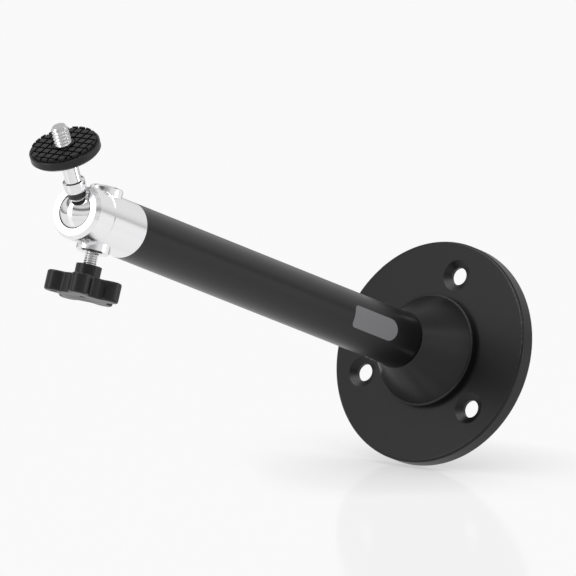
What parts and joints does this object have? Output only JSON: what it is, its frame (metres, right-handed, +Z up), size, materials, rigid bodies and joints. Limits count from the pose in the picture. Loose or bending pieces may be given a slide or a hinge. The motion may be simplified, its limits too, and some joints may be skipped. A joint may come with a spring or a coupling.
{
  "type": "camera wall bracket",
  "caption": "Wall bracket for a camera: round wall plate, straight tube arm and a clamped ball head with a screw platform.",
  "frame": {"origin": "middle of the wall plate's back, on the wall", "axes": "+Y into the wall, so the arm leaves along -Y; +Z up; the clamp knob hangs along -Z"},
  "size_m": [0.084, 0.257, 0.084],
  "materials": {
    "black_powder": "satin black powder coat",
    "zinc_steel": "bright zinc plate",
    "turned_aluminium": "fine turned, bright",
    "chrome_ball": "polished",
    "black_plastic": "moulded, satin",
    "black_disc": "black anodised",
    "pad_rubber": "matte"
  },
  "bodies": {
    "bracket": {"wall_plate": "black_powder", "tube_socket": "black_powder", "socket_screws": "zinc_steel", "arm_tube": "black_powder", "rear_plug": "turned_aluminium", "bolt_washer": "zinc_steel", "centre_bolt": "zinc_steel", "front_plug": "turned_aluminium", "head_stud": "zinc_steel", "head_collar": "turned_aluminium", "head_housing": "turned_aluminium", "brake_piston": "black_plastic"},
    "clamp": {"clamp_screw": "zinc_steel", "clamp_knob": "black_plastic"},
    "ball": {"ball_stem": "chrome_ball"},
    "platform": {"platform_disc": "black_disc", "platform_pad": "pad_rubber", "camera_screw": "zinc_steel"}
  },
  "joints": [
    {"name": "clamp_turn", "type": "hinge", "parent": "bracket", "child": "clamp", "pos_m": [0, -0.2174, -0.017], "axis": [0, 0, -1], "range_deg": [0, 540]},
    {"name": "ball_tilt", "type": "hinge", "parent": "bracket", "child": "ball", "pos_m": [0, -0.2284, 0], "axis": [-1, 0, 0], "range_deg": [-73, 43]},
    {"name": "stem_spin", "type": "hinge", "parent": "ball", "child": "platform", "pos_m": [0, -0.24613, 0.01902], "axis": [0, -0.682, 0.7314], "continuous": true}
  ]
}
